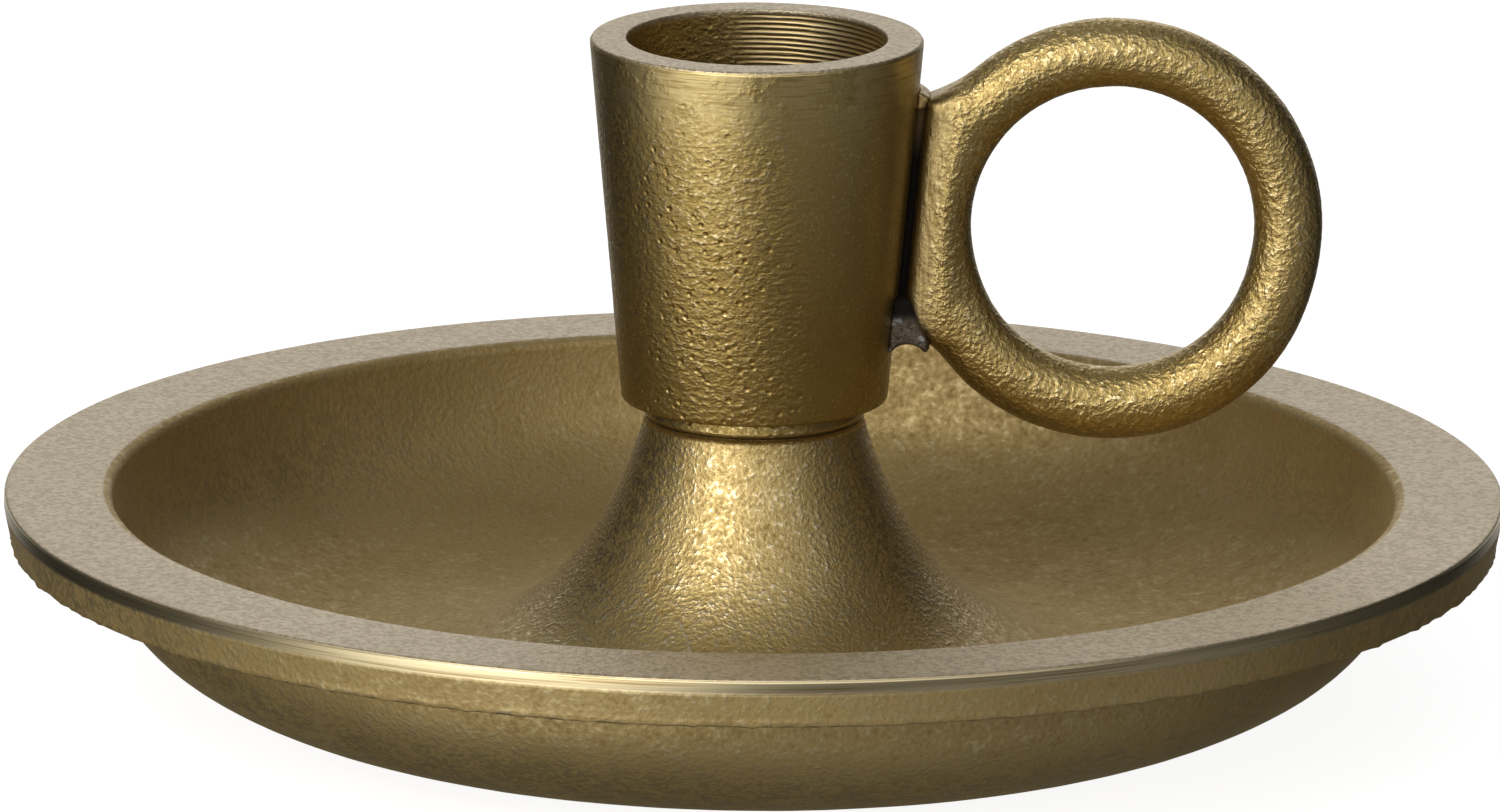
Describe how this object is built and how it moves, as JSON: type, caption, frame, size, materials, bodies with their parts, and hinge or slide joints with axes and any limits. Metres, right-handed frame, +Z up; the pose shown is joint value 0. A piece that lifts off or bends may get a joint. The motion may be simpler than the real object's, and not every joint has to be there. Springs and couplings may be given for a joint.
{
  "type": "chamberstick candle holder",
  "caption": "Cast brass chamberstick: round drip pan with a flared stem, a tapered candle cup screwed on from below, and a finger ring brazed to the cup.",
  "frame": {"origin": "centre of the foot ring, on the table", "axes": "+Z up along the axis of the candle socket, +X towards the ring handle"},
  "size_m": [0.13, 0.13, 0.0602],
  "materials": {
    "pan_brass": "sand-cast, aged olive-gold, rim dressed flat and edge turned",
    "cup_brass": "pitted cast skin, mouth ground flat, socket half turned",
    "ring_brass": "coarse cast skin, worn bright",
    "braze": "dull, dark with flux and soot",
    "screw_brass": "turned, dulled"
  },
  "bodies": {
    "root": {"drip_pan": "pan_brass", "candle_cup": "cup_brass", "ring_handle": "ring_brass", "lower_braze": "braze", "upper_braze": "braze", "fixing_screw": "screw_brass", "screw_washer": "screw_brass"}
  },
  "joints": []
}
